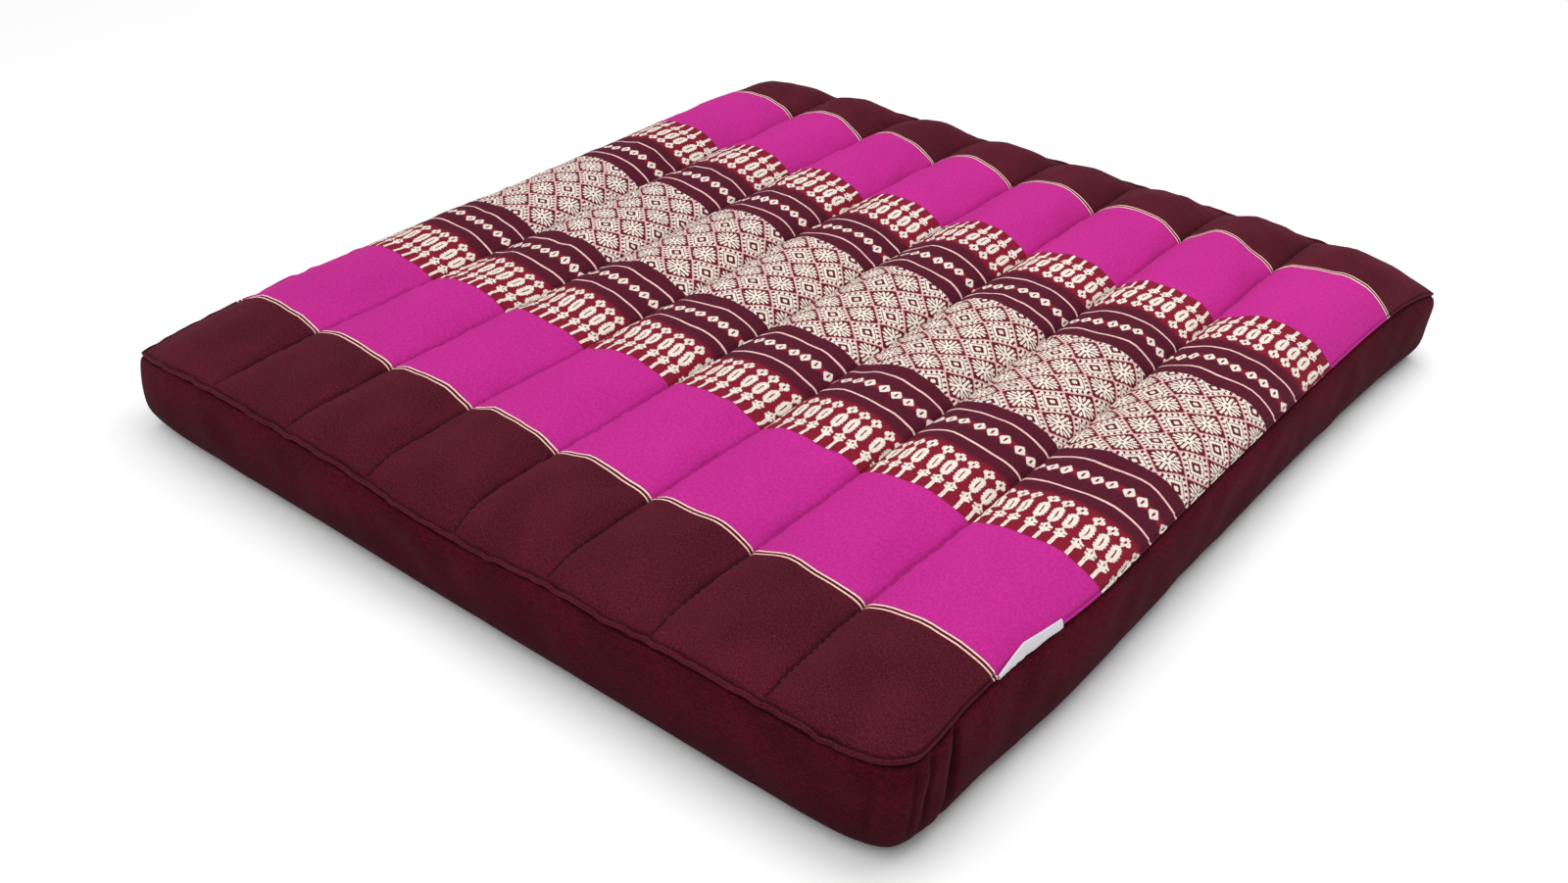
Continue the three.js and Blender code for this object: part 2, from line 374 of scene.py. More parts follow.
def cloth_across(top, per_channel):
    """How far each point lies across the cloth, with what the creases take in. One row of
    values for the cells on the left of each column, one for those on its right."""
    steps = np.linalg.norm(np.diff(top, axis=0)[..., [0, 2]], axis=-1)
    left, right = np.zeros(top.shape[:2]), np.zeros(top.shape[:2])
    for channel in range(CHANNELS):
        span = slice(channel * per_channel, (channel + 1) * per_channel)
        length = np.concatenate([np.zeros((1, top.shape[1])), np.cumsum(steps[span], axis=0)])
        length += (channel - CHANNELS / 2) * CLOTH_PER_CHANNEL + TAKEN_IN / 2
        if channel == 0:
            length += CLOTH_PER_CHANNEL - TAKEN_IN - length[-1] + length[0]
        right[span] = length[:-1]
        left[span.start + 1 : span.stop + 1] = length[1:]
    left[0], right[-1] = right[0], left[-1]
    return left, right


def smooth_lines(lines, steps):
    """More lines through the given ones, by a spline across them."""
    padded = np.concatenate([2 * lines[:1] - lines[1:2], lines, 2 * lines[-1:] - lines[-2:-1]])
    found = []
    for k in range(len(lines) - 1):
        before, begin, end, after = padded[k : k + 4]
        for t in np.arange(steps) / steps:
            found.append(
                begin
                + 0.5 * t * (end - before)
                + t * t * (before - 2.5 * begin + 2 * end - 0.5 * after)
                + t**3 * (-0.5 * before + 1.5 * begin - 1.5 * end + 0.5 * after)
            )
    found.append(lines[-1])
    return np.stack(found)


def outline_order(columns, rows):
    """Grid places once round the edge, anticlockwise seen from above."""
    front = [(i, 0) for i in range(columns - 1)]
    right = [(columns - 1, j) for j in range(rows - 1)]
    back = [(i, rows - 1) for i in range(columns - 1, 0, -1)]
    left = [(0, j) for j in range(rows - 1, 0, -1)]
    return np.array(front + right + back + left).T


# Which of the cover's materials a face takes, and the cloth coordinate of the boxing's upper edge
TOP_CLOTH = 0
BOXING_CLOTH = 1
STRIP_EDGE = 1


class Cover:
    """Points, faces, materials and cloth coordinates of a sewn piece, and how much painted shade
    each point takes where it lies in a seam, a crease or a fold: 1 at its bottom, 0 out of it."""

    def __init__(self):
        self.points, self.grooves, self.faces, self.parts, self.places = [], [], [], [], []
        self.count = 0

    def add_points(self, points, groove=0):
        self.points.append(points)
        self.grooves.append(np.broadcast_to(groove, len(points)))
        self.count += len(points)
        return np.arange(self.count - len(points), self.count)

    def add_face(self, corners, places, part):
        self.faces.append([int(corner) for corner in corners])
        self.places += places
        self.parts.append(part)

    def make(self, name):
        mesh = bpy.data.meshes.new(name)
        mesh.from_pydata(np.concatenate(self.points).tolist(), [], self.faces)
        layer = mesh.uv_layers.new(name="cloth")
        layer.data.foreach_set("uv", np.array(self.places, np.float32).ravel())
        # The painted shade of seams, creases and folds, kept as the groove attribute
        groove = mesh.attributes.new("groove", "FLOAT", "POINT")
        groove.data.foreach_set("value", np.concatenate(self.grooves).astype(np.float32))
        mesh.polygons.foreach_set("material_index", np.array(self.parts, np.int32))
        mesh.polygons.foreach_set("use_smooth", np.ones(len(self.faces), bool))
        mesh.update()
        piece = bpy.data.objects.new(name, mesh)
        bpy.context.scene.collection.objects.link(piece)
        return piece


def grid_cells(shape):
    """The four grid places of each cell, anticlockwise."""
    for i in range(shape[0] - 1):
        for j in range(shape[1] - 1):
            yield (i, j), (i + 1, j), (i + 1, j + 1), (i, j + 1)


def quilted_base(u, c, v):
    """The flat base, with a groove under each crease."""
    base = wall_point(u, c, v, "base_edge")
    groove = np.exp(-((crease_gap(c) / BASE_GROOVE_WIDTH) ** BASE_GROOVE_SHAPE))
    groove = groove * (1 - np.abs(v) ** CREST_ROLL)
    base[..., 2] += BASE_GROOVE * groove * (np.abs(u) < CREASED_WIDTH)
    return base


def add_top(cover, index, left, right, lengthwise):
    """The faces of the top panel within its seam."""
    for cell in grid_cells(index.shape):
        spots = [(right[k] if k[0] == cell[0][0] else left[k], lengthwise[k]) for k in cell]
        cover.add_face([index[k] for k in cell], spots, TOP_CLOTH)


def add_boxing(cover, rings, wall, start, out):
    """The faces from the top's edge down to the base: the last of the panel, then the boxing."""
    drops = np.linalg.norm(np.diff(wall, axis=0), axis=-1).mean(1)
    drops = np.concatenate([[0], np.cumsum(drops)])
    panel = [(start + out * drop).tolist() for drop in drops]
    strip = np.linalg.norm(np.diff(wall[0], axis=0, append=wall[0][:1]), axis=-1)
    strip = np.concatenate([[0], np.cumsum(strip)])
    panel_end = WALL_STEPS * list(WALL_LINES).index(PANEL_END)
    count = len(start)
    for level in range(len(wall) - 1):
        for s in range(count):
            cell = [(level + 1, s), (level + 1, s + 1), (level, s + 1), (level, s)]
            corners = [rings[a][b % count] for a, b in cell]
            if level < panel_end:
                cover.add_face(corners, [panel[a][b % count] for a, b in cell], TOP_CLOTH)
            else:
                spots = [(strip[b], STRIP_EDGE - drops[a]) for a, b in cell]
                cover.add_face(corners, spots, BOXING_CLOTH)


def add_base(cover, base, index):
    """The faces of the base, each as large as four cells of the top. Those at the edge also take
    in the points between."""
    turn = [(0, 0), (0, 1), (0, 2), (1, 2), (2, 2), (2, 1), (2, 0), (1, 0)]
    columns, rows = index.shape
    for i in range(0, columns - 1, 2):
        for j in range(0, rows - 1, 2):
            cell = [(i + a, j + b) for a, b in turn if index[i + a, j + b] >= 0]
            cover.add_face([index[k] for k in cell], [tuple(base[k][:2]) for k in cell], BOXING_CLOTH)


def make_cushion():
    """The cover, and the creases along which it is stitched."""
    places, across, per_channel = channel_columns()
    u, v = np.meshgrid(places, np.linspace(-1, 1, LENGTH_ROWS + 1), indexing="ij")
    c = np.broadcast_to(across[:, None], u.shape)
    channel = np.minimum(np.arange(len(places)) // per_channel, CHANNELS - 1)[:, None]
    top = quilted_top(u, c, v, channel)
    base = quilted_base(u, c, v)
    edge = tuple(outline_order(*u.shape))
    wall = np.stack([wall_point(u[edge], c[edge], v[edge], line) for line in WALL_LINES])
    wall = smooth_lines(wall, WALL_STEPS)

    cover = Cover()
    # Painted shade along each crease, as a thin dark line
    sewn = np.exp(-((crease_gap(c) / PAINTED_CREASE_SHADE_WIDTH) ** 2)) * (np.abs(u) < CREASED_WIDTH)
    top_index = cover.add_points(top.reshape(-1, 3), sewn.ravel()).reshape(u.shape)
    # Painted shade on the rings in and beside the grooves of the cord, and in the folds
    grooves = [WALL_STEPS * list(WALL_LINES).index(line) for line in GROOVE_LINES]
    folds = np.clip(folded_in(u[edge], v[edge], wall[..., 2]) / FULL_FOLD_SHADE_DEPTH, 0, 1)
    rings = [top_index[edge]]
    for level, line in enumerate(wall[1:-1], 1):
        from_groove = min(abs(level - groove) for groove in grooves)
        shade = PAINTED_GROOVE_SHADES[min(from_groove, len(PAINTED_GROOVE_SHADES) - 1)]
        rings.append(cover.add_points(line, np.maximum(folds[level], shade)))
    kept = np.zeros(u.shape, bool)
    kept[::2, ::2] = True
    kept[edge] = True
    base_index = np.full(u.shape, -1)
    base_index[kept] = cover.add_points(base[kept])
    rings.append(base_index[edge])

    left, right = cloth_across(top, per_channel)
    slipping = np.arange(len(places)) / per_channel - SLIP_FROM_CREASE
    slip = CLOTH_SLIP * np.maximum(slipping, 0) / (CHANNELS - SLIP_FROM_CREASE)
    lengthwise = top[..., 1] - slip[:, None] * eased(-v, *SLIP_SETS_IN)
    add_top(cover, top_index, left, right, lengthwise)
    start = np.stack([left[edge], lengthwise[edge]], -1)
    add_boxing(cover, rings, wall, start, outward(u[edge], v[edge])[:, :2])
    add_base(cover, base, base_index)
    stitched = slice(UNSTITCHED_ROWS, -UNSTITCHED_ROWS)
    creases = [top[k * per_channel, stitched] for k in range(1, CHANNELS)]
    return cover.make("cushion_cover"), creases


# The label, a folded tape that stands in the side seam: where it is sewn in along Y, the length
# of each leg, how thick the tape is, and how far the legs part
LABEL_FRONT = -199.6 * MM
LABEL_BACK = -155 * MM
LABEL_LEG = 7 * MM
LABEL_TAPE = 0.35 * MM
LABEL_PARTING = 0.35 * MM

# How high the fold stands over the seam at shares of its length, how it leans over the panel, which
# way the legs go into the seam, where the seam holds them, how blunt the fold is, and how many
# points it has each way
LABEL_STANDS = ((0, 1.2 * MM), (0.42, 6 * MM), (0.7, 4.7 * MM), (1, 3.8 * MM))
LABEL_UP = np.array([-0.25, 0, 1])
LABEL_INTO_SEAM = np.array([0.8, 0, 0.6])
LABEL_SEAT = np.array([1.4 * MM, 0, 1 * MM])
LABEL_FOLD = 2.5
LABEL_ROWS = 41
LABEL_COLUMNS = 21


def make_label():
    """Both legs of the tape and the fold between them, then its thickness."""
    along = np.linspace(0, 1, LABEL_ROWS)
    turn = np.linspace(-1, 1, LABEL_COLUMNS)
    stands = np.interp(along, *np.array(LABEL_STANDS).T)
    grid = []
    for share, tall in zip(along, stands):
        v = (LABEL_FRONT + (LABEL_BACK - LABEL_FRONT) * share) / HALF_LENGTH
        root = wall_point(np.array(1.0), np.array(1.0), np.array(v), "under_ridge")
        line = []
        for t in turn:
            up = tall - LABEL_LEG * abs(t) ** LABEL_FOLD
            apart = LABEL_PARTING * np.sign(t) * (1 - (1 - abs(t)) ** 3)
            place = up * (LABEL_UP if up > 0 else LABEL_INTO_SEAM)
            line.append(root + place + LABEL_SEAT + np.array([apart, 0, 0]))
        grid.append(line)
    grid = np.array(grid)
    tape = Cover()
    index = tape.add_points(grid.reshape(-1, 3)).reshape(grid.shape[:2])
    for cell in grid_cells(index.shape):
        spots = [(turn[b] * LABEL_LEG, grid[a, b, 1]) for a, b in cell]
        tape.add_face([index[k] for k in cell], spots, 0)
    label = tape.make("label_tab")
    thick = label.modifiers.new("tape", "SOLIDIFY")
    thick.thickness = LABEL_TAPE
    thick.offset = 0
    return label


# The thread in the creases: the stitches and the facets of each
STITCH_SPACING = 4.2 * MM
STITCH_LENGTH = 2.8 * MM
STITCH_THICKNESS = 0.5 * MM
STITCH_SEGMENTS = 6
STITCH_RINGS = 4


def make_stitches(paths, thread):
    """Short stitches spaced along each path."""
    mesh = bpy.data.meshes.new("seam_stitches")
    edges, reached = [], 0
    for path in paths:
        edges += [(reached + k, reached + k + 1) for k in range(len(path) - 1)]
        reached += len(path)
    mesh.from_pydata(np.concatenate(paths).tolist(), edges, [])
    stitches = bpy.data.objects.new("seam_stitches", mesh)
    bpy.context.scene.collection.objects.link(stitches)

    tree = bpy.data.node_groups.new("stitching", "GeometryNodeTree")
    tree.interface.new_socket("Lines", in_out="INPUT", socket_type="NodeSocketGeometry")
    spacing = tree.interface.new_socket("Spacing", in_out="INPUT", socket_type="NodeSocketFloat")
    size = tree.interface.new_socket("Size", in_out="INPUT", socket_type="NodeSocketVector")
    tree.interface.new_socket("Stitches", in_out="OUTPUT", socket_type="NodeSocketGeometry")
    given = tree.nodes.new("NodeGroupInput")
    made = tree.nodes.new("NodeGroupOutput")
    lines = tree.nodes.new("GeometryNodeMeshToCurve")
    spaced = tree.nodes.new("GeometryNodeResampleCurve")
    spaced.mode = "LENGTH"
    # A round form of unit size, so that its scale is the size of a stitch
    one = tree.nodes.new("GeometryNodeMeshUVSphere")
    one.inputs["Segments"].default_value = STITCH_SEGMENTS
    one.inputs["Rings"].default_value = STITCH_RINGS
    one.inputs["Radius"].default_value = 0.5
    tangent = tree.nodes.new("GeometryNodeInputTangent")
    aim = tree.nodes.new("FunctionNodeAlignRotationToVector")
    aim.axis = "Z"
    placed = tree.nodes.new("GeometryNodeInstanceOnPoints")
    real = tree.nodes.new("GeometryNodeRealizeInstances")
    coloured = tree.nodes.new("GeometryNodeSetMaterial")
    coloured.inputs["Material"].default_value = thread
    for begin, end in (
        (given.outputs["Lines"], lines.inputs["Mesh"]),
        (lines.outputs["Curve"], spaced.inputs["Curve"]),
        (given.outputs["Spacing"], spaced.inputs["Length"]),
        (spaced.outputs["Curve"], placed.inputs["Points"]),
        (one.outputs["Mesh"], placed.inputs["Instance"]),
        (tangent.outputs["Tangent"], aim.inputs["Vector"]),
        (aim.outputs["Rotation"], placed.inputs["Rotation"]),
        (given.outputs["Size"], placed.inputs["Scale"]),
        (placed.outputs["Instances"], real.inputs["Geometry"]),
        (real.outputs["Geometry"], coloured.inputs["Geometry"]),
        (coloured.outputs["Geometry"], made.inputs["Stitches"]),
    ):
        tree.links.new(begin, end)
    sewing = stitches.modifiers.new("stitching", "NODES")
    sewing.node_group = tree
    sewing[spacing.identifier] = STITCH_SPACING
    sewing[size.identifier] = (STITCH_THICKNESS, STITCH_THICKNESS, STITCH_LENGTH)
    finished = stitches.evaluated_get(bpy.context.evaluated_depsgraph_get())
    stitches.data = bpy.data.meshes.new_from_object(finished)
    stitches.modifiers.remove(sewing)
    return stitches


def linear(red, green, blue):
    """A colour seen as 0-255 values, as a shader takes it."""
    parts = [value / 255 for value in (red, green, blue)]
    return tuple(p / 12.92 if p <= 0.04045 else ((p + 0.055) / 1.055) ** 2.4 for p in parts) + (1,)


# The colours of the yarns and of the tape
BURGUNDY = linear(56, 14, 24)
BURGUNDY_FLECK = linear(106, 28, 45)
FIELD_RED = linear(92, 18, 35)
STALK_RED = linear(122, 23, 42)
DARK_BAND = linear(75, 21, 37)
BAND_RED = linear(132, 25, 46)
MAGENTA = linear(178, 38, 131)
CREAM = linear(224, 215, 204)
PINK_LINE = linear(226, 184, 182)
EDGE_PINK = linear(250, 205, 202)
EDGE_CREAM = linear(232, 192, 176)
BOXING = linear(37, 7, 15)
BOXING_RED = linear(94, 18, 31)
THREAD = linear(58, 14, 25)
TAPE = linear(214, 211, 216)
TAPE_SHADE = linear(196, 190, 200)


# The sockets of a Mix node that mixes colours
MIX_FACTOR = 0
MIX_BELOW = 6
MIX_ABOVE = 7
MIX_RESULT = 2


class Shade:
    """A shader socket. Arithmetic on it adds Math nodes to its tree."""

    def __init__(self, tree, socket):
        self.tree = tree
        self.socket = socket

    def node(self, kind, settings=None, sockets=None, output=0):
        """Any other node: its type, its settings, the values or links of its sockets, and the
        output that is used."""
        made = self.tree.nodes.new(kind)
        for name, value in (settings or {}).items():
            if name == "stops":
                set_stops(made.color_ramp, value)
            else:
                setattr(made, name, value)
        for name, value in (sockets or {}).items():
            if isinstance(value, Shade):
                self.tree.links.new(value.socket, made.inputs[name])
            else:
                made.inputs[name].default_value = value
        return Shade(self.tree, made.outputs[output])

    def math(self, operation, *values):
        return self.node("ShaderNodeMath", {"operation": operation}, dict(enumerate(values)))

    def __add__(self, other):
        return self.math("ADD", self, other)

    def __sub__(self, other):
        return self.math("SUBTRACT", self, other)

    def __mul__(self, other):
        return self.math("MULTIPLY", self, other)

    def __truediv__(self, other):
        return self.math("DIVIDE", self, other)

    def __rsub__(self, other):
        return self.math("SUBTRACT", other, self)

    def __lt__(self, other):
        return self.math("LESS_THAN", self, other)

    def __gt__(self, other):
        return self.math("GREATER_THAN", self, other)

    def __abs__(self):
        return self.math("ABSOLUTE", self)

    __radd__ = __add__
    __rmul__ = __mul__

    def floor(self):
        return self.math("FLOOR", self)

    def least(self, other):
        return self.math("MINIMUM", self, other)

    def most(self, other):
        return self.math("MAXIMUM", self, other)

    def wrap(self, half):
        """The value brought back into -half to half by whole repeats."""
        return self.math("WRAP", self, half, -half)

    def sine(self):
        return self.math("SINE", self)

    def smooth(self, low, high):
        """0 below low, 1 above high, eased between."""
        sockets = {"Value": self, "From Min": low, "From Max": high}
        return self.node("ShaderNodeMapRange", {"interpolation_type": "SMOOTHSTEP"}, sockets)

    def ramp(self, stops, interpolation="LINEAR"):
        return self.node("ShaderNodeValToRGB", {"stops": (stops, interpolation)}, {"Fac": self})

    def over(self, below, above):
        """Mixes two colours, with this value as the share of the one above."""
        sockets = {MIX_FACTOR: self, MIX_BELOW: below, MIX_ABOVE: above}
        return self.node("ShaderNodeMix", {"data_type": "RGBA"}, sockets, MIX_RESULT)

    def noise(self, other, scale, other_scale, detail):
        """Soft unevenness from 0 to 1 over two coordinates, with so many waves for a unit of each,
        and finer waves on them."""
        place = self.node("ShaderNodeCombineXYZ", None, {0: self * scale, 1: other * other_scale})
        sockets = {"Vector": place, "Scale": 1, "Detail": detail}
        return self.node("ShaderNodeTexNoise", {"noise_dimensions": "2D"}, sockets)

    def specks(self, other, scale, other_scale, detail, low, high):
        """That unevenness, with 0 where it is below low and 1 where it is above high."""
        return self.noise(other, scale, other_scale, detail).smooth(low, high)

    def channels(self):
        """The three numbers of a colour."""
        split = self.node("ShaderNodeSeparateColor", None, {0: self})
        return [Shade(self.tree, socket) for socket in split.socket.node.outputs]


def set_stops(ramp, plan):
    """Sets the stops of a ramp, and how it goes from one to the next."""
    stops, ramp.interpolation = plan
    while len(ramp.elements) < len(stops):
        ramp.elements.new(1)
    for element, (place, colour) in zip(ramp.elements, stops):
        element.position = place
        element.color = colour


def new_material(name):
    """A new material: its Principled shader, and the two cloth coordinates in metres."""
    material = bpy.data.materials.new(name)
    material.use_nodes = True
    tree = material.node_tree
    cloth = Shade(tree, None).node("ShaderNodeUVMap", {"uv_map": "cloth"})
    u, v, _ = cloth.node("ShaderNodeSeparateXYZ", None, {0: cloth}).socket.node.outputs
    return material, tree.nodes["Principled BSDF"], Shade(tree, u), Shade(tree, v)


def feed(surface, name, shade):
    shade.tree.links.new(shade.socket, surface.inputs[name])


def painted_groove_shade(shade):
    """The painted shade in seams, creases and folds, from 0 to 1."""
    return shade.node("ShaderNodeAttribute", {"attribute_name": "groove"}, None, "Fac")


def dimmed(colour, value):
    """A colour times a value."""
    grey = value.node("ShaderNodeCombineColor", None, {0: value, 1: value, 2: value})
    settings = {"data_type": "RGBA", "blend_type": "MULTIPLY"}
    sockets = {MIX_FACTOR: 1.0, MIX_BELOW: colour, MIX_ABOVE: grey}
    return colour.node("ShaderNodeMix", settings, sockets, MIX_RESULT)


def raised(surface, height):
    """Turns a height in metres into the surface's bumps."""
    feed(surface, "Normal", height.node("ShaderNodeBump", None, {"Height": height, "Distance": 1}))


def ridged(shade, pitch):
    """A wave from -1 to 1 along a coordinate."""
    return (shade * (2 * math.pi / pitch)).sine()


def roughened(surface, grain, plan):
    """Sets the roughness by a plan: the least, and what the grain adds."""
    least, added = plan
    feed(surface, "Roughness", least + grain * added)


SHEEN_ROUGHNESS = 0.5
SHEEN_TINT = (1, 0.25, 0.4, 1)


def matt(surface, sheen, specular):
    """Sets the faint gloss of cotton and the sheen of its fuzz."""
    surface.inputs["Sheen Weight"].default_value = sheen
    surface.inputs["Sheen Roughness"].default_value = SHEEN_ROUGHNESS
    surface.inputs["Sheen Tint"].default_value = SHEEN_TINT
    surface.inputs["Specular IOR Level"].default_value = specular


# Pitch of the threads, and heights of the threads, of the floats of the motifs and of the fuzz
THREAD_ACROSS = 0.62 * MM
THREAD_ALONG = 0.55 * MM
THREAD_RELIEF = 0.03 * MM
FLOAT_RELIEF = 0.14 * MM
FUZZ_RELIEF = 0.02 * MM

# The top's bands wobble: waves per metre across and along, finer waves on them, and their size
WOBBLE = (14, 5, 1)
WOBBLE_SIZE = 2.2 * MM

# The brightness of the cloth: the least, and in the top the waves per metre and the share of each
# unevenness
LEAST_BRIGHT = 0.5
GRAIN = (1400, 700, 1)
GRAIN_SHARE = 0.36
HEATHER = (700, 520, 2)
HEATHER_SHARE = 0.5
CLOUDS = (18, 14, 3)
CLOUD_SHARE = 0.14

# The red in its burgundy ends: waves per metre, what counts as none and as full, and share
FLECKS = (1500, 1000, 1, 0.35, 0.75)
FLECK_SHARE = 0.5
PATCHES = (30, 24, 3, 0.3, 0.8)
PATCH_SHARE = 0.16

# The red in the boxing, in the same way: its own blotches, with painted light that fades it towards
# the base between two heights. The streaks are stronger where it is red.
PAINTED_LIGHT_HEIGHTS = (2 * MM, 44 * MM)
BOXING_BLOTCHES = (22, 34, 3, 0.3, 0.7)
BOXING_RED_SHARE = 0.3
BOXING_STREAKS = (260, 1100, 2, 0.4, 0.7)
STREAK_SHARE = 0.06
RED_STREAK_SHARE = 0.3
BOXING_FLECKS = (800, 1100, 1, 0.35, 0.7)
BOXING_FLECK_SHARE = 0.16
BOXING_GRAIN = (1000, 1000, 1)

# Roughness: the least, and what the grain adds
TOP_ROUGHNESS = (0.78, 0.14)
BOXING_ROUGHNESS = (0.76, 0.16)
THREAD_ROUGHNESS = (0.6, 0.2)
TAPE_ROUGHNESS = (0.5, 0.2)

# Painted shade at the bottom of a seam, a crease or a fold: how much darker it makes the top's
# patterned cloth, its plain ends and the boxing
TOP_PAINTED_SEAM_SHADE = 0.35
END_PAINTED_SEAM_SHADE = 0.75
BOXING_PAINTED_SEAM_SHADE = 0.8

# Waves per metre in the sewing thread, and the grain and the ribs of the label's tape
THREAD_GRAIN = 900
TAPE_GRAIN = (900, 900, 2)
RIB_PITCH = 0.5 * MM
RIB_RELIEF = 0.012 * MM

# One quarter of the field's repeat, charted: columns from a flower's axis to the next
# diamond's, picks from a diamond's middle out to the flower's. X cream, o the lattice line.
FIELD_CHART = (
    "ooX..XX.XXX...XX",
    ".oo..XXX.XXX...X",
    "..ooXXX.X.XXX...",
    "...ooX..XX.XXX..",
    "....oo..XXX.XXX.",
    "X....ooXXX.X.XXX",
    "X..X..ooX..XX.XX",
    "X.XX...oo..XXX.X",
    "X.XX....ooXXX.X.",
    "X.XX.XX..ooX..XX",
    "X.X.XXX...oo..XX",
    "X..XXX.....ooXX.",
    "X.XXX.XXXX..ooX.",
    "XXXX.XXXX....oo.",
    "XXX...........oo",
    ".XXXXXXXXXX....o",
)
CHART_COLOURS = {".": (0, 0, 0, 1), "X": (1, 0, 0, 1), "o": (0, 1, 0, 1)}

# The stalk from the magenta inwards: so many picks with cream from one distance to another off
# its axis, in cells
STALK_CHART = (
    (10, 0, 1.25), (1, 0, 2.4), (2, 0, 3.7), (1, 0, 1.9), (2, 0.5, 4), (1, 0, 2.4), (1, 0, 1.2),
    (2, 0, 0.6), (1, 0, 1.7), (2, 0, 2.8), (1, 0, 3.7), (2, 0.5, 3.2), (1, 0.5, 4.1),
    (2, 0.5, 3.4), (1, 0.5, 4.1), (2, 0.5, 3.4), (1, 0, 3.9), (2, 0, 2.9), (1, 0, 1.8),
    (2, 0, 0.6), (2, 0, 1.4), (1, 0, 3.1), (3, 0.7, 4), (1, 0, 3.1), (2, 0, 1.4),
)

# The small diamond in the same way, from its middle outwards
DIAMOND_CHART = ((1, 0.75, 4.2), (1, 0.75, 3.5), (1, 0, 2.7), (1, 0, 1.8), (1, 0, 0.9))

# The pitch of their picks, the axes of the stalks in one repeat, in cells, and how far the threads
# of a motif stray from the chart: waves per cell and per pick, and size in cells. A motif reaches
# fewer cells off its axis than the last value.
STALK_PICK = 0.73 * MM
STALK_COLUMNS = (-3, 7, 17)
STRAY = (0.13, 0.9, 0)
STRAY_CELLS = 0.5
MOTIF_REACH = 8

# The share of pink in the field's lattice lines
LATTICE_SHARE = 0.8

# The redder stripe behind the diamonds: half its width, its share, and how soft its edges are
RED_STRIPE_HALF = 3.2 * MM
RED_STRIPE_SHARE = 0.8
RED_STRIPE_SOFT = 0.6


def chart_stops(row):
    """The stops of a ramp that gives one line of a chart."""
    stops = []
    for column, mark in enumerate(row):
        if column == 0 or mark != row[column - 1]:
            stops.append((column / len(row), CHART_COLOURS[mark]))
    return stops


def charted(pick, off_axis, chart):
    """Cream where a motif's chart has it, by pick and by cells off the motif's axis."""
    size = sum(picks for picks, _, _ in chart) + 1
    stops, reached = [], 0
    for picks, low, high in chart:
        stops.append((reached / size, (low / MOTIF_REACH, high / MOTIF_REACH, 0, 1)))
        reached += picks
    stops.append((reached / size, (0, 0, 0, 1)))
    low, high, _ = ((pick.floor() + 0.5) / size).ramp(stops, "CONSTANT").channels()
    off = off_axis / MOTIF_REACH
    return (off > low) * (off < high) * (pick > 0)


def woven_field(column, v):
    """The cream and the lattice lines of the middle field."""
    half = REPEAT_CELLS / 2
    place = abs(column.wrap(half)) / half
    pick = abs((v / FIELD_PICK).wrap(len(FIELD_CHART))).floor()
    marks = place.ramp(chart_stops(FIELD_CHART[0]), "CONSTANT")
    for number, row in enumerate(FIELD_CHART[1:], 1):
        chosen = abs(pick - number) < 0.5
        marks = chosen.over(marks, place.ramp(chart_stops(row), "CONSTANT"))
    cream, lattice, _ = marks.channels()
    return cream, lattice


def woven_motifs(column, along):
    """The cream of the stalks and of the row of diamonds."""
    half = REPEAT_CELLS / 2
    off_axis = abs((column - STALK_COLUMNS[0]).wrap(half))
    for axis in STALK_COLUMNS[1:]:
        off_axis = off_axis.least(abs((column - axis).wrap(half)))
    stray = column.noise(along / STALK_PICK, *STRAY) - 0.5
    off_axis = off_axis + stray * STRAY_CELLS
    stalks = charted((STALK_EDGE - along) / STALK_PICK, off_axis, STALK_CHART)
    diamonds = charted(abs(along - DIAMOND_ROW) / STALK_PICK, off_axis, DIAMOND_CHART)
    return stalks.most(diamonds)


def banded_ground(along):
    """The plain colours of the bands, from the middle of the length to its ends."""
    sharp = 0.1 * MM
    bands = (
        (0, FIELD_RED), (FIELD_EDGE, FIELD_RED), (FIELD_EDGE + sharp, DARK_BAND),
        (DARK_EDGE, DARK_BAND), (RED_EDGE, STALK_RED), (STALK_EDGE, STALK_RED),
        (STALK_EDGE + sharp, MAGENTA), (MAGENTA_EDGE, MAGENTA), (MAGENTA_EDGE + sharp, BURGUNDY),
    )
    ground = (along / CLOTH_END).ramp([(place / CLOTH_END, colour) for place, colour in bands])
    stripe = (1 - abs(along - DIAMOND_ROW) / RED_STRIPE_HALF).smooth(0, RED_STRIPE_SOFT)
    return (stripe * RED_STRIPE_SHARE).over(ground, BAND_RED)


def line_at(along, place, width):
    """1 on a thin line across the cloth, 0 off it."""
    return abs(along - place) < width / 2


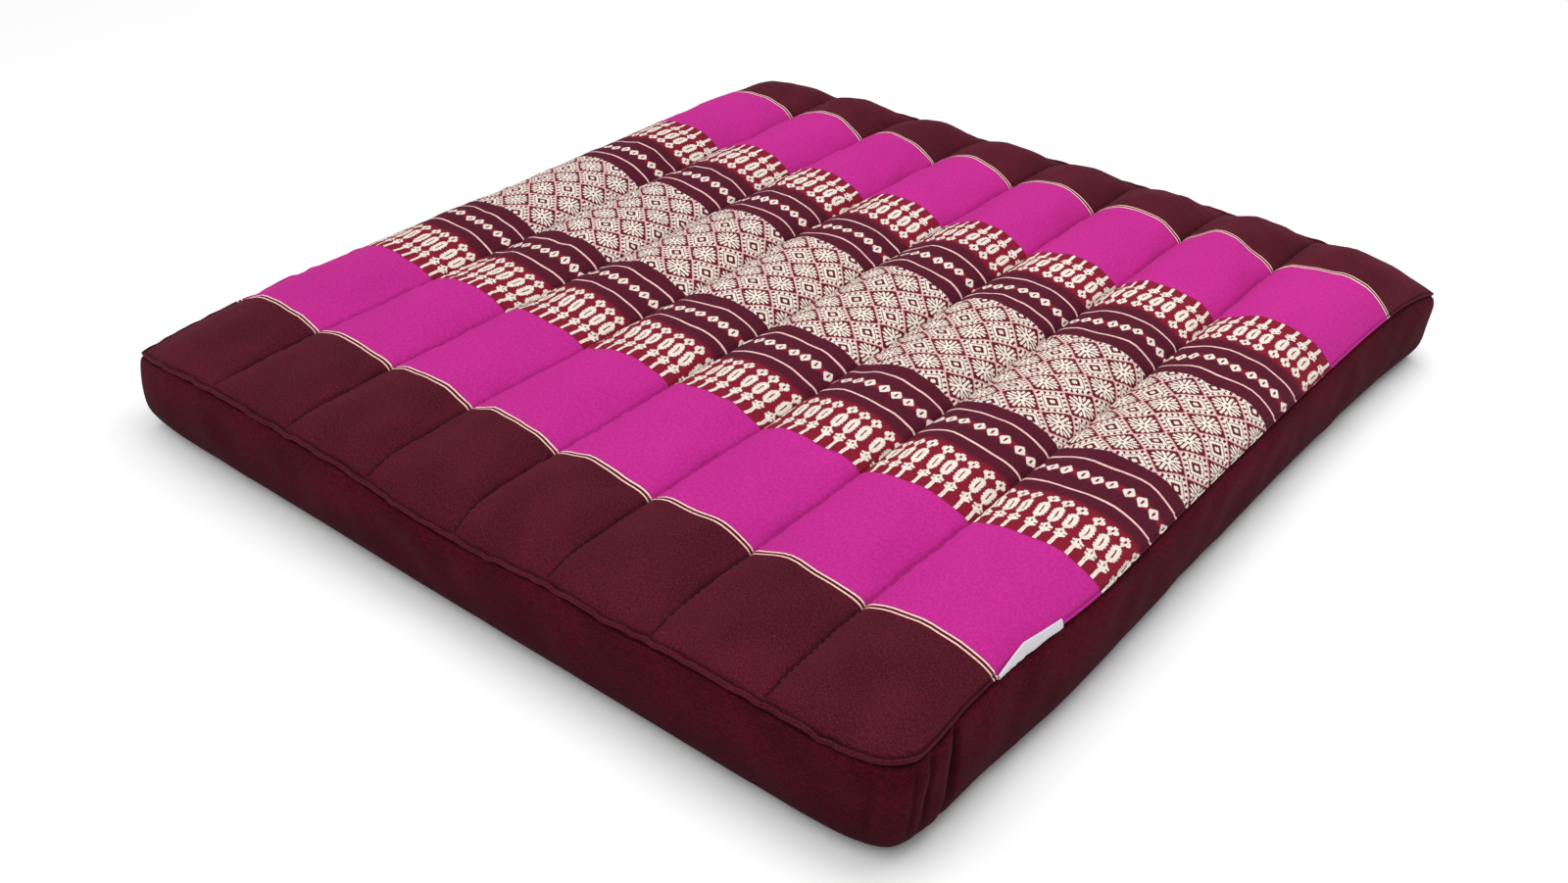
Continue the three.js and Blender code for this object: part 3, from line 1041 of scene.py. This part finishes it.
def make_woven_top():
    """The banded top panel, woven by its charts."""
    material, surface, u, v = new_material("woven_top")
    v = v + (u.noise(v, *WOBBLE) - 0.5) * WOBBLE_SIZE
    along = abs(v)
    column = (u - FIRST_FLOWER) / CELL
    in_field = along < FIELD_EDGE
    field_cream, lattice = woven_field(column, v)
    cream = (in_field * field_cream).most(woven_motifs(column, along))
    thin_lines = line_at(along, INNER_LINE, THIN_LINE_WIDTH)
    thin_lines = thin_lines + line_at(along, OUTER_LINE, THIN_LINE_WIDTH)
    pink_edge = line_at(along, PINK_EDGE_LINE, EDGE_LINE_WIDTH)
    cream_edge = line_at(along, CREAM_EDGE_LINE, EDGE_LINE_WIDTH)

    plain_end = along > MAGENTA_EDGE
    fleck = u.specks(v, *FLECKS) * FLECK_SHARE + u.specks(v, *PATCHES) * PATCH_SHARE
    colour = (fleck * plain_end).over(banded_ground(along), BURGUNDY_FLECK)
    colour = (in_field * lattice * LATTICE_SHARE).most(thin_lines).over(colour, PINK_LINE)
    colour = pink_edge.over(cream_edge.over(colour, EDGE_CREAM), EDGE_PINK)
    colour = cream.over(colour, CREAM)
    grain = u.noise(v, *GRAIN)
    value = LEAST_BRIGHT + grain * GRAIN_SHARE
    value = value + u.noise(v, *HEATHER) * HEATHER_SHARE + u.noise(v, *CLOUDS) * CLOUD_SHARE
    # Painted shade in the seams and creases, darker in the burgundy ends
    painted_seam_shade = TOP_PAINTED_SEAM_SHADE + plain_end * (END_PAINTED_SEAM_SHADE - TOP_PAINTED_SEAM_SHADE)
    feed(surface, "Base Color", dimmed(colour, value * (1 - painted_groove_shade(u) * painted_seam_shade)))
    roughened(surface, grain, TOP_ROUGHNESS)
    matt(surface, sheen=0.08, specular=0.06)

    pick_round = abs((along / FIELD_PICK).wrap(1))
    floats = cream.most(pink_edge).most(cream_edge).most(thin_lines) * (1 - pick_round * pick_round)
    threads = ridged(u, THREAD_ACROSS) * ridged(v, THREAD_ALONG)
    raised(surface, threads * THREAD_RELIEF + floats * FLOAT_RELIEF + grain * FUZZ_RELIEF)
    return material


def make_boxing_cotton():
    """The plain burgundy of the boxing and the base, shot with red threads, with painted light that
    makes it redder towards the top.
    """
    material, surface, u, v = new_material("burgundy_cotton")
    place = u.node("ShaderNodeTexCoord", None, None, "Object")
    height = place.node("ShaderNodeSeparateXYZ", None, {0: place}, "Z")
    # Painted light: redder towards the top and fading towards the base; the blotches in it are the
    # cloth's own
    red = height.smooth(*PAINTED_LIGHT_HEIGHTS) * (0.5 + u.specks(v, *BOXING_BLOTCHES) * 0.5)
    streak = u.specks(v, *BOXING_STREAKS) * (STREAK_SHARE + red * RED_STREAK_SHARE)
    fleck = u.specks(v, *BOXING_FLECKS) * BOXING_FLECK_SHARE
    colour = (red * BOXING_RED_SHARE + streak + fleck).over(BOXING, BOXING_RED)
    grain = u.noise(v, *BOXING_GRAIN)
    # Painted shade in the seams and folds of the boxing
    value = (LEAST_BRIGHT + grain) * (1 - painted_groove_shade(u) * BOXING_PAINTED_SEAM_SHADE)
    feed(surface, "Base Color", dimmed(colour, value))
    roughened(surface, grain, BOXING_ROUGHNESS)
    matt(surface, sheen=0.03, specular=0.03)
    threads = ridged(u, THREAD_ACROSS) * ridged(v, THREAD_ACROSS)
    raised(surface, threads * THREAD_RELIEF + grain * FUZZ_RELIEF)
    return material


def make_thread():
    """The burgundy sewing thread."""
    material, surface, u, _ = new_material("sewing_thread")
    place = u.node("ShaderNodeTexCoord", None, None, "Object")
    sockets = {"Vector": place, "Scale": THREAD_GRAIN, "Detail": 1}
    grain = place.node("ShaderNodeTexNoise", None, sockets)
    colour = (grain * 0.5).over(THREAD, BURGUNDY_FLECK)
    feed(surface, "Base Color", dimmed(colour, 0.8 + grain * 0.4))
    roughened(surface, grain, THREAD_ROUGHNESS)
    return material


def make_label_tape():
    """The smooth white tape of the label, finely ribbed."""
    material, surface, u, v = new_material("label_tape")
    grain = u.noise(v, *TAPE_GRAIN)
    feed(surface, "Base Color", (grain * 0.5).over(TAPE, TAPE_SHADE))
    roughened(surface, grain, TAPE_ROUGHNESS)
    surface.inputs["Sheen Weight"].default_value = 0.1
    raised(surface, ridged(v, RIB_PITCH) * RIB_RELIEF + grain * FUZZ_RELIEF)
    return material


# The camera, where the photo was taken from: lens and sensor in millimetres, roll in degrees
CAMERA_LENS = 35.468
CAMERA_SENSOR = 36
CAMERA_PLACE = (0.45730, -0.62040, 0.46358)
CAMERA_AIM = (-0.51271, 0.66322, -0.54522)
CAMERA_ROLL = 1.606

# The studio: a pale floor that reaches so far each way, a white world, a wide soft sky and a soft
# box over the right-hand side
FLOOR_REACH = 6
FLOOR_PALE = (0.9, 0.9, 0.9, 1)
FLOOR_ROUGHNESS = 0.9
WORLD_STRENGTH = 0.36
SKY_STRENGTH = 2.2
SKY_SPREAD = 85
SKY_HEIGHT = 2
SKY_DIRECTION = (0.12, 0.32, -1)
BOX_POWER = 4.2
BOX_SIZE = 0.7
BOX_PLACE = (0.28, 0.15, 1)


def make_camera():
    data = bpy.data.cameras.new("photo_camera")
    data.lens = CAMERA_LENS
    data.sensor_width = CAMERA_SENSOR
    camera = bpy.data.objects.new("photo_camera", data)
    camera.location = CAMERA_PLACE
    aim = Vector(CAMERA_AIM).to_track_quat("-Z", "Y")
    camera.rotation_mode = "QUATERNION"
    camera.rotation_quaternion = aim @ Quaternion((0, 0, 1), math.radians(CAMERA_ROLL))
    bpy.context.scene.collection.objects.link(camera)
    bpy.context.scene.camera = camera


def aimed(light, place, direction):
    """Hangs a lamp at a place, shining in a direction."""
    lamp = bpy.data.objects.new(light.name, light)
    lamp.location = place
    lamp.rotation_euler = Vector(direction).to_track_quat("-Z", "Y").to_euler()
    bpy.context.scene.collection.objects.link(lamp)


def make_floor():
    mesh = bpy.data.meshes.new("floor")
    turn = ((-1, -1), (1, -1), (1, 1), (-1, 1))
    mesh.from_pydata([(x * FLOOR_REACH, y * FLOOR_REACH, 0) for x, y in turn], [], [(0, 1, 2, 3)])
    floor = bpy.data.objects.new("floor", mesh)
    bpy.context.scene.collection.objects.link(floor)
    paint = bpy.data.materials.new("pale_floor")
    paint.use_nodes = True
    surface = paint.node_tree.nodes["Principled BSDF"]
    surface.inputs["Base Color"].default_value = FLOOR_PALE
    surface.inputs["Roughness"].default_value = FLOOR_ROUGHNESS
    mesh.materials.append(paint)


def make_light():
    world = bpy.data.worlds.new("studio")
    world.use_nodes = True
    world.node_tree.nodes["Background"].inputs["Color"].default_value = (1, 1, 1, 1)
    world.node_tree.nodes["Background"].inputs["Strength"].default_value = WORLD_STRENGTH
    bpy.context.scene.world = world
    sky = bpy.data.lights.new("soft_sky", "SUN")
    sky.energy = SKY_STRENGTH
    sky.angle = math.radians(SKY_SPREAD)
    aimed(sky, (0, 0, SKY_HEIGHT), SKY_DIRECTION)
    box = bpy.data.lights.new("soft_box", "AREA")
    box.energy = BOX_POWER
    box.size = BOX_SIZE
    aimed(box, BOX_PLACE, (0, 0, -1))


cushion, stitch_lines = make_cushion()
cushion.data.materials.append(make_woven_top())
cushion.data.materials.append(make_boxing_cotton())
label = make_label()
label.data.materials.append(make_label_tape())
stitches = make_stitches(stitch_lines, make_thread())
make_camera()
make_floor()
make_light()
bpy.context.scene.view_settings.view_transform = "Standard"

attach(cushion, "root")
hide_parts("cushion")
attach(stitches, "root")
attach(label, "root")
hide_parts("seam_label")
